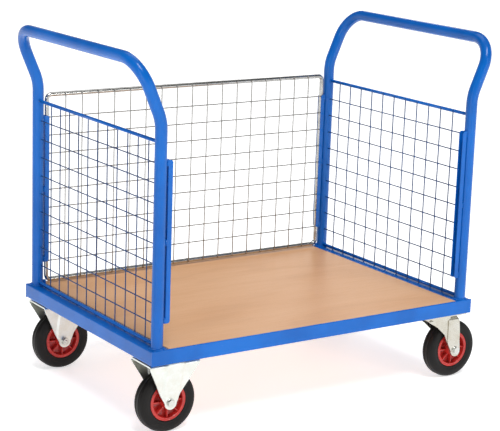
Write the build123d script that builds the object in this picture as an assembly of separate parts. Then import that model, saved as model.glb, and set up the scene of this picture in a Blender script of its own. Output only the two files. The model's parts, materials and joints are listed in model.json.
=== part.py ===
from build123d import *
import os
from math import cos, pi, sin

# Flatbed platform truck: welded chassis, plywood deck, two leaning end hoops filled with wire mesh,
# one lift-out mesh panel along the back, two fixed casters on the left and two swivel casters on the right.
# Millimetres. X runs along the length, Y across the width (the panel is at +Y), Z up, floor at Z = 0.
# The model is drawn about the middle of the chassis, and saved about the middle of its overall length.

# Chassis and deck
chassis_length = 1000.0
chassis_width = 680.0
deck_height = 230.0
beam_width = 50.0
beam_height = 38.0
beam_wall = 2.5
beam_corner_radius = 4.0
rail_thickness = 4.0
rail_edge_radius = 2.0
ledge_width = 30.0
ledge_thickness = 3.0
deck_thickness = 15.0
deck_gap = 0.8
support_width = 40.0
screw_radius = 2.2
screw_head_radius = 4.5
screw_head_height = 2.0
screw_bite = 10.0
screw_pitch = 200.0
screws_per_side = 4

# End hoops
tube_radius = 15.0
tube_wall = 2.0
post_inset_y = 20.0
lean_start = 555.0
lean_offset = 62.0
bar_height = 700.0
lean_bend_radius = 110.0
corner_bend_radius = 75.0

# Wire mesh of the end hoops, heights above the deck
mesh_rod_radius = 4.5
mesh_wire_radius = 1.5
end_column_pitch = 50.7
column_margin = 35.0  # least room between the outermost wires and the upright beside them
row_count = 9
row_pitch = 49.3
end_bottom_rod_height = 7.0
end_top_rod_height = 504.5
end_first_row_height = 56.2

# Guides for the lift-out panel
guide_depth = 15.0
guide_standoff = 2.5
guide_wall = 1.5
guide_bottom = 62.0
guide_top = 463.0
guide_corner_radius = 7.0
guide_clearance = 0.8
lug_width = 8.0
lug_height = 15.0
rest_gap = 1.0
rest_height = 11.0

# Lift-out panel, heights above the deck
panel_rod_radius = 6.0
panel_corner_radius = 13.0
panel_bottom_height = 10.5
panel_top_height = 518.0
panel_seat_gap = 0.6
panel_column_pitch = 49.6
panel_first_row_height = 64.0

# Casters
wheel_radius = 80.0
tread_width = 40.0
tyre_inner_radius = 47.0
tyre_seat_width = 32.0
shoulder_half = 17.0
shoulder_drop = 6.0
side_share = 4 / 7  # how far up from the rim to the shoulder the tyre is widest
rim_radius = 49.5
rim_wall = 8.0
rim_width = 36.0
web_thickness = 6.0
spoke_count = 8
spoke_thickness = 3.0
spoke_inset = 4.0
hub_radius = 17.0
hub_length = 50.0
hub_bore_radius = 11.0
groove_offset = 6.0
groove_radius = 1.0
axle_radius = 5.0
axle_clearance = 0.05
sleeve_radius = 8.0
roller_count = 12
roller_clearance = 0.04
cage_length = 3.0
cage_inset = 1.0
fork_inner_half = 26.0
fork_wall = 4.0
fork_tip_radius = 17.0
leg_rib_raise = 2.5
leg_rib_front = 29.0
leg_rib_back = 12.0
plate_length = 140.0
plate_width = 110.0
plate_thickness = 4.0
plate_bolt_spacing_x = 105.0
plate_bolt_spacing_y = 68.0
plate_bolt_radius = 5.0
plate_hole_radius = 5.5
plate_corner_radius = 8.0
plate_side_inset = 5.0
plate_end_inset = 4.0
fixed_bend_radius = 8.0
channel_half = 21.0
channel_slope = 8.0
channel_depth = 4.5
spacer_radius = 9.5
knee_above_axle = 15.0
swivel_offset = 53.5
crown_radius = 42.0
crown_thickness = 4.0
fork_bend_radius = 5.0
fork_heel_reach = 62.0
fork_heel_bevel = 6.0
fork_heel_drop = 8.0
race_lip_wall = 2.5
race_lip_gap = 1.0
race_ring_width = 18.0
skirt_gap = 0.5
upper_ball_radius = 3.95
upper_ball_circle = 34.0
upper_ball_count = 20
lower_ball_radius = 2.95
lower_ball_circle = 17.0
lower_ball_count = 14
ball_clearance = 0.05
fork_front_edge = ((-12.0, 20.0), (14.0, 44.0), (26.0, 72.0))  # from the swivel axis, below the crown
kingpin_radius = 6.0
kingpin_clearance = 3.0
cup_radius = 23.0
cup_thickness = 3.5

# Hexagon sizes, measured across the corners' circle radius
axle_hex_radius = 9.8
axle_head_height = 6.5
axle_nut_height = 8.0
axle_end = 2.0
plate_hex_radius = 9.2
plate_head_height = 6.4
plate_nut_height = 8.0
kingpin_hex_radius = 10.5
kingpin_nut_height = 8.0

# Worked-out places
half_length = chassis_length / 2
half_width = chassis_width / 2
chassis_bottom = deck_height - beam_height
beam_center_x = half_length - beam_width / 2
beam_inner_x = half_length - beam_width
rail_inner_y = half_width - rail_thickness
ledge_top = deck_height - deck_thickness
support_height = ledge_top - ledge_thickness - chassis_bottom
post_x = beam_center_x
post_y = half_width - post_inset_y
wire_step = 2 * mesh_wire_radius
plate_center_x = half_length - plate_end_inset - plate_length / 2
plate_center_y = half_width - plate_side_inset - plate_width / 2
plate_bottom = chassis_bottom - plate_thickness
wing_top = chassis_bottom - channel_depth
fixed_seat = wing_top - fork_wall
support_x = plate_center_x - plate_bolt_spacing_x / 2
guide_slot_half = panel_rod_radius + guide_clearance
guide_outer_half = guide_slot_half + guide_wall
guide_mouth_x = post_x - tube_radius - guide_depth
guide_back_x = post_x - tube_radius - guide_standoff
slot_floor_x = guide_back_x - guide_wall
panel_rod_x = slot_floor_x - panel_seat_gap - panel_rod_radius
rest_radius = (post_x - tube_radius - rest_gap - beam_inner_x) / 2
end_span = 2 * (post_y - tube_radius)
panel_span = 2 * (panel_rod_x - panel_rod_radius)
fork_outer_half = fork_inner_half + fork_wall
fixed_leg_face = fork_outer_half
swivel_leg_face = fork_outer_half + leg_rib_raise
crown_top = plate_bottom - plate_thickness - 2 * (upper_ball_radius + ball_clearance)
crown_bottom = crown_top - crown_thickness
cup_top = crown_bottom - 2 * (lower_ball_radius + ball_clearance)
left_reach = post_x + lean_offset + tube_radius
right_reach = plate_center_x + swivel_offset + wheel_radius
frame_shift = (right_reach - left_reach) / 2


def block(x0, x1, y0, y1, z0, z1):
    size = Box(x1 - x0, y1 - y0, z1 - z0)
    return Pos((x0 + x1) / 2, (y0 + y1) / 2, (z0 + z1) / 2) * size


def across_plane(x, y, z):
    # Sketch plane seen from the front: X to the right, Z up, extruding towards -Y
    return Plane(origin=(x, y, z), x_dir=(1, 0, 0), z_dir=(0, -1, 0))


def rod(start, end, radius):
    a, b = Vector(*start), Vector(*end)
    return Solid.make_cylinder(radius, (b - a).length, Plane(origin=a, z_dir=b - a))


def ring(center, axis, outer, inner, length):
    plane = Plane(origin=center, z_dir=axis)
    return Solid.make_cylinder(outer, length, plane) - Solid.make_cylinder(inner, length, plane)


def hex_prism(center, axis, radius, length):
    return extrude(Plane(origin=center, z_dir=axis) * RegularPolygon(radius, 6), length)


def group(solids):
    return Compound([s for part in solids for s in part.solids()])


def save(name, part):
    export_step(Pos(-frame_shift, 0, 0) * part, os.path.join("parts", name + ".step"))


def end_beam(side):
    # Closed rectangular tube across the width, with caster bolt holes through its lower wall
    shape = RectangleRounded(beam_width, beam_height, beam_corner_radius)
    shape -= RectangleRounded(
        beam_width - 2 * beam_wall, beam_height - 2 * beam_wall, beam_corner_radius - beam_wall
    )
    place = across_plane(side * beam_center_x, rail_inner_y, deck_height - beam_height / 2)
    beam = extrude(place * shape, 2 * rail_inner_y)
    for x, y in bolt_places():
        if x * side > beam_inner_x:
            low = (x, y, chassis_bottom - 1)
            beam -= rod(low, (x, y, chassis_bottom + beam_wall + 1), plate_hole_radius)
    return beam


def side_rail(side):
    # Angle: an upright face the full length and a ledge under the board
    face = block(
        -half_length, half_length, rail_inner_y, half_width, chassis_bottom, deck_height
    )
    outer_edges = face.edges().filter_by(Axis.X).group_by(Axis.Y)[-1]
    face = fillet(outer_edges, rail_edge_radius)
    ledge_low = ledge_top - ledge_thickness
    ledge = block(
        -beam_inner_x, beam_inner_x, rail_inner_y - ledge_width, rail_inner_y, ledge_low, ledge_top
    )
    for x in screw_places():
        y = rail_inner_y - ledge_width / 2
        ledge -= rod((x, y, ledge_low - 1), (x, y, ledge_top + 1), screw_radius)
    rail = face + ledge
    return rail if side > 0 else mirror(rail, Plane.XZ)


def cross_member(x):
    # Rectangular tube between the side rails, below their ledges
    shape = Rectangle(support_width, support_height)
    shape -= Rectangle(support_width - 2 * beam_wall, support_height - 2 * beam_wall)
    place = across_plane(x, rail_inner_y, chassis_bottom + support_height / 2)
    member = extrude(place * shape, 2 * rail_inner_y)
    for bx, by in bolt_places():
        if abs(bx - x) < support_width / 2:
            low = (bx, by, chassis_bottom - 1)
            member -= rod(low, (bx, by, chassis_bottom + beam_wall + 1), plate_hole_radius)
    return member


def deck_board():
    x = beam_inner_x - deck_gap
    y = rail_inner_y - deck_gap
    board = block(-x, x, -y, y, ledge_top, deck_height)
    for sx in screw_places():
        for side in (-1, 1):
            sy = side * (rail_inner_y - ledge_width / 2)
            board -= rod((sx, sy, ledge_top - 1), (sx, sy, ledge_top + screw_bite), screw_radius)
    return board


def screw_places():
    first = -screw_pitch * (screws_per_side - 1) / 2
    return [first + screw_pitch * i for i in range(screws_per_side)]


def deck_screws():
    screws = []
    for x in screw_places():
        for side in (-1, 1):
            y = side * (rail_inner_y - ledge_width / 2)
            under = ledge_top - ledge_thickness
            shank = rod((x, y, under), (x, y, ledge_top + screw_bite), screw_radius)
            head = rod((x, y, under - screw_head_height), (x, y, under), screw_head_radius)
            screws.append(shank + head)
    return group(screws)


def bolt_places():
    places = []
    for side_x in (-1, 1):
        for side_y in (-1, 1):
            for dx in (-1, 1):
                for dy in (-1, 1):
                    x = side_x * plate_center_x + dx * plate_bolt_spacing_x / 2
                    y = side_y * plate_center_y + dy * plate_bolt_spacing_y / 2
                    places.append((x, y))
    return places


def caster_bolts():
    # Bolts up through the plates; the fixed brackets' wings also have a spacer round each bolt
    parts = []
    for x, y in bolt_places():
        seat = fixed_seat if x < 0 else plate_bottom
        tip = chassis_bottom + beam_wall + plate_nut_height
        shank = rod((x, y, seat), (x, y, tip), plate_bolt_radius)
        head = hex_prism((x, y, seat), (0, 0, -1), plate_hex_radius, plate_head_height)
        parts.append(shank + head)
        if x < 0:
            parts.append(ring((x, y, wing_top), (0, 0, 1), spacer_radius, plate_hole_radius, channel_depth))
    return group(parts)


def caster_nuts():
    nuts = []
    for x, y in bolt_places():
        seat = (x, y, chassis_bottom + beam_wall)
        nut = hex_prism(seat, (0, 0, 1), plate_hex_radius, plate_nut_height)
        nuts.append(nut - rod(seat, (x, y, seat[2] + plate_nut_height), plate_bolt_radius))
    return group(nuts)


def hoop(side):
    # The straight handle bar, and a swept leg at each end: corner bend, lean, knee bend and post
    lean_x = side * (post_x + lean_offset)
    knee = deck_height + lean_start
    top = deck_height + bar_height
    bar_end = post_y - corner_bend_radius
    corners = [
        (side * post_x, -post_y, deck_height),
        (side * post_x, -post_y, knee),
        (lean_x, -post_y, top),
        (lean_x, -bar_end / 2, top),
    ]
    path = FilletPolyline(*corners, radius=[lean_bend_radius, corner_bend_radius])
    leg_path = Wire([edge for edge in path.edges() if edge.center().Y < -bar_end])
    start = leg_path @ 0
    along = leg_path % 0
    section = Plane(origin=start, z_dir=along) * (Circle(tube_radius) - Circle(tube_radius - tube_wall))
    leg = sweep(section, path=leg_path)
    bar = ring((lean_x, -bar_end, top), (0, 1, 0), tube_radius, tube_radius - tube_wall, 2 * bar_end)
    return leg + bar + mirror(leg, Plane.XZ)


def post_cutters(side):
    low = deck_height
    high = deck_height + lean_start
    return [
        rod((side * post_x, y, low), (side * post_x, y, high), tube_radius) for y in (-post_y, post_y)
    ]


def between_posts(side, x, z, radius):
    # A bar across the hoop, its ends coped to the round posts
    bar = rod((x, -post_y, z), (x, post_y, z), radius)
    for cutter in post_cutters(side):
        bar -= cutter
    return bar


def mesh_rods(side):
    heights = (end_bottom_rod_height, end_top_rod_height)
    return group([between_posts(side, side * post_x, deck_height + h, mesh_rod_radius) for h in heights])


def column_x(side):
    return side * (post_x - mesh_rod_radius - mesh_wire_radius)


def column_places(span, pitch):
    # As many upright wires as fit in the span, centred, with the least room outside them
    count = int((span - 2 * column_margin) / pitch) + 1
    first = -pitch * (count - 1) / 2
    return [first + pitch * i for i in range(count)]


def mesh_columns(side):
    x = column_x(side)
    top = deck_height + end_top_rod_height + mesh_rod_radius / 2
    wires = []
    for y in column_places(end_span, end_column_pitch):
        wires.append(rod((x, y, deck_height), (x, y, top), mesh_wire_radius))
    return group(wires)


def mesh_rows(side):
    x = column_x(side) + side * wire_step
    heights = [end_first_row_height + row_pitch * i for i in range(row_count)]
    return group([between_posts(side, x, deck_height + h, mesh_wire_radius) for h in heights])


def guide(side, across):
    # U channel with its mouth towards the middle of the truck, held off the post by three welded lugs
    y = across * post_y
    low = deck_height + guide_bottom
    high = deck_height + guide_top
    channel = block(guide_mouth_x, guide_back_x, y - guide_outer_half, y + guide_outer_half, low, high)
    free_corners = channel.edges().filter_by(Axis.Y).group_by(Axis.X)[0]
    channel = fillet(free_corners, guide_corner_radius)
    slot_low, slot_high = y - guide_slot_half, y + guide_slot_half
    channel -= block(guide_mouth_x - 1, slot_floor_x, slot_low, slot_high, low - 1, high + 1)
    for lug_low in (low, (low + high - lug_height) / 2, high - lug_height):
        half = lug_width / 2
        channel += block(guide_back_x, post_x, y - half, y + half, lug_low, lug_low + lug_height)
    channel -= rod((post_x, y, low - 1), (post_x, y, high + 1), tube_radius)
    return channel if side > 0 else mirror(channel, Plane.YZ)


def panel_rests():
    # Round-topped pegs on the end beams, beside the back posts, under the panel's lower corners
    pegs = []
    for side in (-1, 1):
        x = side * (beam_inner_x + rest_radius)
        peg = rod((x, post_y, deck_height), (x, post_y, deck_height + rest_height), rest_radius)
        crown = peg.edges().group_by(Axis.Z)[-1]
        pegs.append(fillet(crown, rest_radius / 2))
    return group(pegs)


def panel_frame():
    x = panel_rod_x
    low = deck_height + panel_bottom_height
    high = deck_height + panel_top_height
    place = across_plane(0, post_y, 0)
    loop = place * Pos(0, (low + high) / 2) * RectangleRounded(2 * x, high - low, panel_corner_radius)
    path = loop.wire()
    start = path @ 0
    section = Plane(origin=start, z_dir=path % 0) * Circle(panel_rod_radius)
    return sweep(section, path=path)


def panel_columns():
    y = post_y - panel_rod_radius - mesh_wire_radius
    low = deck_height + panel_bottom_height - panel_rod_radius / 2
    high = deck_height + panel_top_height + panel_rod_radius / 2
    wires = []
    for x in column_places(panel_span, panel_column_pitch):
        wires.append(rod((x, y, low), (x, y, high), mesh_wire_radius))
    return group(wires)


def panel_rows():
    y = post_y - panel_rod_radius - mesh_wire_radius + wire_step
    low = deck_height + panel_bottom_height
    high = deck_height + panel_top_height
    rows = []
    for i in range(row_count):
        z = deck_height + panel_first_row_height + row_pitch * i
        wire = rod((-panel_rod_x, y, z), (panel_rod_x, y, z), mesh_wire_radius)
        for side in (-1, 1):
            upright_x = side * panel_rod_x
            wire -= rod((upright_x, post_y, low), (upright_x, post_y, high), panel_rod_radius)
        rows.append(wire)
    return group(rows)


def caster_plate(x, y):
    shape = RectangleRounded(plate_length, plate_width, plate_corner_radius)
    plate = extrude(Pos(x, y, plate_bottom) * shape, plate_thickness)
    for dx in (-1, 1):
        for dy in (-1, 1):
            bx = x + dx * plate_bolt_spacing_x / 2
            by = y + dy * plate_bolt_spacing_y / 2
            plate -= rod((bx, by, plate_bottom - 1), (bx, by, chassis_bottom + 1), plate_hole_radius)
    return plate


def side_profile(points, tip_center, depth, y):
    # A leg's outline seen from the side, rounded at the axle and carried right across the caster
    tip_x, tip_z = tip_center
    place = across_plane(0, y + depth, 0)
    outline = make_face(Polyline(*points, close=True))
    tip = Pos(tip_x, tip_z) * Circle(fork_tip_radius)
    return extrude(place * (outline + tip), 2 * depth)


def bent_sheet(x0, x1, y, half_low, half_high, top, wall, bend):
    # Inverted U of sheet seen from the end: upright below the knee, leaning outwards above it
    bottom = wheel_radius - fork_tip_radius - 1
    knee = wheel_radius + knee_above_axle
    place = Plane(origin=(x0, y, 0), x_dir=(0, 1, 0), z_dir=(1, 0, 0))
    outer = [(half_low, bottom), (half_low, knee), (half_high, top)]
    outer += [(-across, z) for across, z in reversed(outer)]
    inner = [(half_low - wall, bottom), (half_low - wall, knee), (half_high - wall, top - wall)]
    inner += [(-across, z) for across, z in reversed(inner)]
    shell = make_face(Polyline(*outer, close=True))
    hollow = make_face(Polyline(*inner, close=True))
    upper = shell.vertices().group_by(Axis.Y)[-1]
    shell = fillet(upper, bend)
    upper_inner = hollow.vertices().group_by(Axis.Y)[-1]
    hollow = fillet(upper_inner, max(bend - wall, wall / 2))
    return extrude(place * (shell - hollow), x1 - x0)


def u_face(x, y, inset):
    # Filled outline of the bracket's inverted U seen from the end, drawn in from the outer faces by inset
    low_half = fork_outer_half - inset
    high_half = plate_width / 2 - inset
    top = chassis_bottom - inset
    bottom = wheel_radius - fork_tip_radius - 1
    knee = wheel_radius + knee_above_axle
    right = [(low_half, bottom), (low_half, knee), (high_half, top)]
    left = [(-across, z) for across, z in reversed(right)]
    face = make_face(Polyline(*right, *left, close=True))
    bend = fixed_bend_radius - inset / 2
    face = fillet(face.vertices().group_by(Axis.Y)[-1], bend)
    return Plane(origin=(x, y, 0), x_dir=(0, 1, 0), z_dir=(1, 0, 0)) * face


def channelled_u(x, y, inset):
    # The inverted U along the caster: wings at both sides of a channel that stands out from them
    half = plate_length / 2
    low = inset + channel_depth
    stations = [
        (-half, low),
        (-channel_half - channel_slope, low),
        (-channel_half, inset),
        (channel_half, inset),
        (channel_half + channel_slope, low),
        (half, low),
    ]
    return loft([u_face(x + along, y, depth) for along, depth in stations], ruled=True)


def fixed_bracket(x, y):
    # One pressed sheet: a top plate and two tapering legs, with a channel pressed along its middle
    half = plate_length / 2
    shoulder = chassis_bottom - 3 * plate_thickness
    taper = [
        (x - half, chassis_bottom),
        (x - half, shoulder),
        (x - fork_tip_radius, wheel_radius),
        (x + fork_tip_radius, wheel_radius),
        (x + half, shoulder),
        (x + half, chassis_bottom),
    ]
    outline = side_profile(taper, (x, wheel_radius), plate_width, y)
    bracket = (channelled_u(x, y, 0) - channelled_u(x, y, fork_wall)) & outline
    for dx in (-1, 1):
        for dy in (-1, 1):
            bx = x + dx * plate_bolt_spacing_x / 2
            by = y + dy * plate_bolt_spacing_y / 2
            bracket -= rod((bx, by, fixed_seat - 1), (bx, by, chassis_bottom), plate_hole_radius)
    return bracket - axle_hole(x, y)


def axle_hole(x, y):
    reach = plate_width
    radius = axle_radius + axle_clearance
    return rod((x, y - reach, wheel_radius), (x, y + reach, wheel_radius), radius)


def swivel_plate(x, y):
    # Top plate with the upper ball race and a skirt that covers the balls
    plate = caster_plate(x, y)
    race_low = plate_bottom - plate_thickness
    race_outer = crown_radius + race_lip_gap + race_lip_wall
    race_inner = race_outer - race_lip_wall - race_ring_width
    plate += ring((x, y, race_low), (0, 0, 1), race_outer, race_inner, plate_thickness)
    skirt_low = crown_top + skirt_gap
    plate += ring((x, y, skirt_low), (0, 0, 1), race_outer, race_outer - race_lip_wall, race_low - skirt_low)
    return plate - rod((x, y, plate_bottom - 1), (x, y, chassis_bottom + 1), kingpin_radius)


def kingpin(x, y):
    # Pin from the plate down through the fork, with the nut that holds the lower cup
    nut_top = cup_top - cup_thickness
    end = nut_top - kingpin_nut_height
    pin = rod((x, y, end), (x, y, chassis_bottom), kingpin_radius)
    nut = hex_prism((x, y, nut_top), (0, 0, -1), kingpin_hex_radius, kingpin_nut_height)
    nut -= rod((x, y, end), (x, y, nut_top), kingpin_radius)
    return group([pin, nut])


def lower_cup(x, y):
    bottom = cup_top - cup_thickness
    return ring((x, y, bottom), (0, 0, 1), cup_radius, kingpin_radius, cup_thickness)


def bearing_balls(x, y):
    balls = []
    rows = [
        (upper_ball_count, upper_ball_circle, upper_ball_radius, crown_top),
        (lower_ball_count, lower_ball_circle, lower_ball_radius, cup_top),
    ]
    for count, circle, radius, seat in rows:
        z = seat + radius + ball_clearance
        for i in range(count):
            angle = 2 * pi * i / count
            balls.append(Pos(x + circle * cos(angle), y + circle * sin(angle), z) * Sphere(radius))
    return group(balls)


def swivel_fork(x, y):
    # Crown disc and two swept-back legs pressed from one sheet, each with a raised rib down to the axle
    axle_x = x + swivel_offset
    tip = fork_tip_radius
    heel = x + fork_heel_reach
    front_edge = [(x + along, crown_bottom - drop) for along, drop in fork_front_edge]
    sweep_outline = [(x - crown_radius, crown_top), (x - crown_radius, crown_bottom - 1)]
    sweep_outline += front_edge
    sweep_outline += [
        (axle_x - tip, wheel_radius),
        (axle_x + tip, wheel_radius),
        (heel, crown_bottom - fork_heel_drop),
        (heel - fork_heel_bevel, crown_top),
    ]
    outline = side_profile(sweep_outline, (axle_x, wheel_radius), plate_width, y)
    half = fork_outer_half
    sheet = bent_sheet(x - crown_radius, axle_x + tip, y, half, half, crown_top, fork_wall, fork_bend_radius)
    rib_half = swivel_leg_face
    rib_start = axle_x - leg_rib_front
    rib_end = axle_x + leg_rib_back
    rib_wall = fork_wall + leg_rib_raise
    rib = bent_sheet(rib_start, rib_end, y, rib_half, rib_half, crown_bottom, rib_wall, fork_wall)
    rib -= block(rib_start - 1, rib_end + 1, y - fork_inner_half, y + fork_inner_half, 0, deck_height)
    crown = rod((x, y, crown_bottom), (x, y, crown_top), crown_radius)
    fork = (sheet & outline) + (rib & outline) + crown
    fork -= rod((x, y, crown_bottom - 1), (x, y, crown_top + 1), kingpin_radius + kingpin_clearance)
    return fork - axle_hole(axle_x, y)


def axle_bolt(x, y, face):
    # The head is on the outer side of the truck, against the leg's outer face
    out = 1 if y > 0 else -1
    far = -out * (face + axle_nut_height + axle_end)
    shank = rod((x, y + out * face, wheel_radius), (x, y + far, wheel_radius), axle_radius)
    head = hex_prism((x, y + out * face, wheel_radius), (0, out, 0), axle_hex_radius, axle_head_height)
    return shank + head


def axle_nut(x, y, face):
    out = 1 if y > 0 else -1
    seat = y - out * face
    nut = hex_prism((x, seat, wheel_radius), (0, -out, 0), axle_hex_radius, axle_nut_height)
    return nut - rod((x, seat, wheel_radius), (x, seat - out * axle_nut_height, wheel_radius), axle_radius)


def axle_sleeve(x, y):
    inner = axle_radius + axle_clearance
    start = (x, y - fork_inner_half, wheel_radius)
    return ring(start, (0, 1, 0), sleeve_radius, inner, 2 * fork_inner_half)


def roller_bearing(x, y):
    # Loose rollers between the sleeve and the hub, with a cage ring at each end
    inner = sleeve_radius + roller_clearance
    outer = hub_bore_radius - roller_clearance
    radius = (outer - inner) / 2
    pitch = (outer + inner) / 2
    half = hub_length / 2 - cage_inset
    parts = []
    for low in (-half, half - cage_length):
        parts.append(ring((x, y + low, wheel_radius), (0, 1, 0), outer, inner, cage_length))
    for i in range(roller_count):
        angle = 2 * pi * i / roller_count
        rx = x + pitch * cos(angle)
        rz = wheel_radius + pitch * sin(angle)
        parts.append(rod((rx, y - half + cage_length, rz), (rx, y + half - cage_length, rz), radius))
    return group(parts)


def wheel_center(x, y):
    # Moulded centre: rim, web, hub and ribs
    axis = (0, 1, 0)
    center = wheel_radius
    rim = ring((x, y - rim_width / 2, center), axis, rim_radius, rim_radius - rim_wall, rim_width)
    seat_low = y - tyre_seat_width / 2
    seat_cut = ring((x, seat_low, center), axis, rim_radius + 1, tyre_inner_radius, tyre_seat_width)
    rim_inner = rim_radius - rim_wall
    web = ring((x, y - web_thickness / 2, center), axis, rim_inner + 1, hub_bore_radius, web_thickness)
    hub = ring((x, y - hub_length / 2, center), axis, hub_radius, hub_bore_radius, hub_length)
    body = (rim - seat_cut) + web + hub
    spoke_half = rim_width / 2 - spoke_inset
    for i in range(spoke_count):
        length = rim_inner - hub_radius + 2
        middle = hub_radius - 1 + length / 2
        spoke = Pos(middle, 0, 0) * Box(length, 2 * spoke_half, spoke_thickness)
        body += Pos(x, y, center) * Rot(0, 360 * i / spoke_count, 0) * spoke
    return body


def tyre(x, y):
    # Solid rubber tread with a rounded section, two fine grooves round the crown
    half = tread_width / 2
    seat_half = tyre_seat_width / 2
    shoulder = wheel_radius - shoulder_drop
    side = rim_radius + (shoulder - rim_radius) * side_share
    place = Plane(origin=(x, y, wheel_radius), x_dir=(0, 1, 0), z_dir=(1, 0, 0))
    right = ThreePointArc((seat_half, rim_radius), (half, side), (shoulder_half, shoulder))
    crown = ThreePointArc((shoulder_half, shoulder), (0, wheel_radius), (-shoulder_half, shoulder))
    left = ThreePointArc((-shoulder_half, shoulder), (-half, side), (-seat_half, rim_radius))
    base = Polyline(
        (-seat_half, rim_radius),
        (-seat_half, tyre_inner_radius),
        (seat_half, tyre_inner_radius),
        (seat_half, rim_radius),
    )
    section = make_face(right + crown + left + base)
    for offset in (-groove_offset, groove_offset):
        section -= Pos(offset, wheel_radius - groove_radius / 2) * Circle(groove_radius)
    axis = Axis((x, y, wheel_radius), (0, 1, 0))
    return revolve(place * section, axis)


os.makedirs("parts", exist_ok=True)

for name, side in (("left", -1), ("right", 1)):
    save(f"end_beam_{name}", end_beam(side))
    save(f"caster_support_{name}", cross_member(side * support_x))
    save(f"hoop_{name}", hoop(side))
    save(f"mesh_rods_{name}", mesh_rods(side))
    save(f"mesh_columns_{name}", mesh_columns(side))
    save(f"mesh_rows_{name}", mesh_rows(side))
    for place_name, across in (("front", -1), ("back", 1)):
        save(f"guide_{name}_{place_name}", guide(side, across))

save("cross_member_center", cross_member(0))
save("deck_board", deck_board())
save("deck_screws", deck_screws())
save("caster_bolts", caster_bolts())
save("caster_nuts", caster_nuts())
save("panel_rests", panel_rests())
save("panel_frame", panel_frame())
save("panel_columns", panel_columns())
save("panel_rows", panel_rows())

for name, across in (("front", -1), ("back", 1)):
    save(f"side_rail_{name}", side_rail(across))
    y = across * plate_center_y
    fixed_x = -plate_center_x
    swivel_x = plate_center_x
    save(f"fixed_bracket_{name}", fixed_bracket(fixed_x, y))
    save(f"swivel_plate_{name}", swivel_plate(swivel_x, y))
    save(f"swivel_kingpin_{name}", kingpin(swivel_x, y))
    save(f"swivel_lower_cup_{name}", lower_cup(swivel_x, y))
    save(f"swivel_balls_{name}", bearing_balls(swivel_x, y))
    save(f"swivel_fork_{name}", swivel_fork(swivel_x, y))
    save(f"swivel_axle_bolt_{name}", axle_bolt(swivel_x + swivel_offset, y, swivel_leg_face))
    save(f"swivel_axle_nut_{name}", axle_nut(swivel_x + swivel_offset, y, swivel_leg_face))
    save(f"swivel_axle_sleeve_{name}", axle_sleeve(swivel_x + swivel_offset, y))
    for kind, wheel_x in (("fixed", fixed_x), ("swivel", swivel_x + swivel_offset)):
        save(f"{kind}_rollers_{name}", roller_bearing(wheel_x, y))
        save(f"{kind}_wheel_center_{name}", wheel_center(wheel_x, y))
        save(f"{kind}_tyre_{name}", tyre(wheel_x, y))

sides = (-plate_center_y, plate_center_y)
save("fixed_axle_bolts", group([axle_bolt(-plate_center_x, y, fixed_leg_face) for y in sides]))
save("fixed_axle_nuts", group([axle_nut(-plate_center_x, y, fixed_leg_face) for y in sides]))
save("fixed_axle_sleeves", group([axle_sleeve(-plate_center_x, y) for y in sides]))
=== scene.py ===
import bpy
import bmesh
import json
import random
from math import cos, pi, radians, sin, tan
from mathutils import Matrix, Vector

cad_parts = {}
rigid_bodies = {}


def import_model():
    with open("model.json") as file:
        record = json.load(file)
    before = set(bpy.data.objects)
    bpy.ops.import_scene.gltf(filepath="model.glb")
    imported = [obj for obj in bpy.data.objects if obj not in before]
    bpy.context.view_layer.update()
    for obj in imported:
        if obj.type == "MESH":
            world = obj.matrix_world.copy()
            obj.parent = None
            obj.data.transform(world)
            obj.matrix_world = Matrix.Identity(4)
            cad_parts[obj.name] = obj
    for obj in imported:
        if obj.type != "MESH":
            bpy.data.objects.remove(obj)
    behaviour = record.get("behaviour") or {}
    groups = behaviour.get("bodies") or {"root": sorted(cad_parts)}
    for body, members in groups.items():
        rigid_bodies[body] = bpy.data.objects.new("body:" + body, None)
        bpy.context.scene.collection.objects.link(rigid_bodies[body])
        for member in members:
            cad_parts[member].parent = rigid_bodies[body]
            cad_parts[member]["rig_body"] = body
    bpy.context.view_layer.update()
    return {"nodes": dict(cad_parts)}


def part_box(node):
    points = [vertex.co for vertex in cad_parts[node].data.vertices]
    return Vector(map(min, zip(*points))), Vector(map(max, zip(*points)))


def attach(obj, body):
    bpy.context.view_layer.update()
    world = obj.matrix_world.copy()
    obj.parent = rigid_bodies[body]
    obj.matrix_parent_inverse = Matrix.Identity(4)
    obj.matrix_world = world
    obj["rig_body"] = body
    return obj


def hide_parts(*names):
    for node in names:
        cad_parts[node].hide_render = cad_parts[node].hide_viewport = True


# Platform truck: blue welded chassis and end hoops, beech deck, zinc mesh panel, casters with red centred
# wheels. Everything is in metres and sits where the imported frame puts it. X is the length, Y the width, Z up.

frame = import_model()
nodes = frame["nodes"]
print("frame loaded,", len(nodes), "nodes")


# Shader sums

class Link:
    # A socket that takes part in sums: each sum adds one Math node to its tree
    def __init__(self, tree, socket):
        self.tree = tree
        self.socket = socket

    def node(self, kind, settings, inputs, output=0):
        made = self.tree.nodes.new("ShaderNode" + kind)
        for key, value in settings.items():
            if key == "stops":
                fillRamp(made.color_ramp, value)
            else:
                setattr(made, key, value)
        for key, value in inputs.items():
            if isinstance(value, Link):
                self.tree.links.new(value.socket, made.inputs[key])
            else:
                made.inputs[key].default_value = value
        return Link(self.tree, made.outputs[output])

    def sum(self, operation, first, second):
        return self.node("Math", {"operation": operation}, {0: first, 1: second})

    def __add__(self, other):
        return self.sum("ADD", self, other)

    def __radd__(self, other):
        return self.sum("ADD", other, self)

    def __sub__(self, other):
        return self.sum("SUBTRACT", self, other)

    def __rsub__(self, other):
        return self.sum("SUBTRACT", other, self)

    def __mul__(self, other):
        return self.sum("MULTIPLY", self, other)

    def __rmul__(self, other):
        return self.sum("MULTIPLY", other, self)


def fillRamp(ramp, stops):
    while len(ramp.elements) < len(stops):
        ramp.elements.new(1.0)
    for element, (position, colour) in zip(ramp.elements, stops):
        element.position = position
        element.color = colour


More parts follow.
